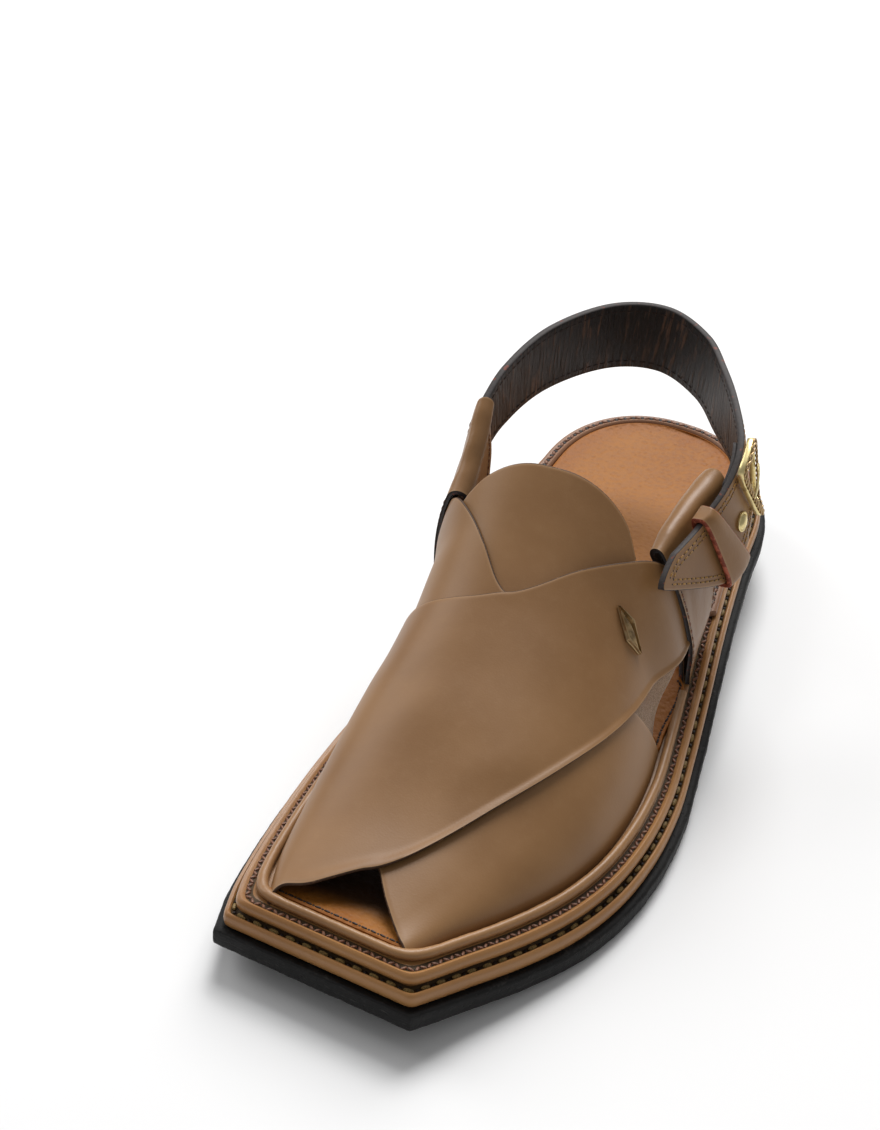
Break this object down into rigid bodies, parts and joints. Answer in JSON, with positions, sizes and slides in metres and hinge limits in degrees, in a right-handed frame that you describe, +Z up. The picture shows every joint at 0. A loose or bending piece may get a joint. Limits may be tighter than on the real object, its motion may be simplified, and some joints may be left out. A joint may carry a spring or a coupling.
{
  "type": "peshawari chappal",
  "caption": "Leather sandal with a crossed-panel vamp, open toe, welted sole stack, low heel and a buckled heel strap, for the left foot.",
  "frame": {"origin": "middle of the sole outline's box, on the floor", "axes": "+Z up, -Y towards the toe, +X towards the little toe"},
  "size_m": [0.1214, 0.314, 0.1044],
  "materials": {
    "tan_leather": "smooth matt, fine grain",
    "welt_leather": "waxed, soft shine",
    "insole_leather": "grained, soft shine",
    "black_leather": "matt",
    "black_rubber": "cut edge, matt",
    "antique_gold": "antique gold plate"
  },
  "bodies": {
    "root": {"bead": "tan_leather", "buckle_frame": "antique_gold", "buckle_prong": "antique_gold", "buckle_tab": "black_leather", "heel_block": "black_rubber", "heel_rim": "tan_leather", "heel_strap": "tan_leather", "insole": "insole_leather", "keeper_loop": "tan_leather", "lateral_quarter": "tan_leather", "lower_welt": "welt_leather", "medial_quarter": "tan_leather", "outsole": "black_rubber", "strap_rivet": "antique_gold", "upper": "tan_leather", "upper_welt": "welt_leather", "vamp_stud": "antique_gold"}
  },
  "joints": []
}
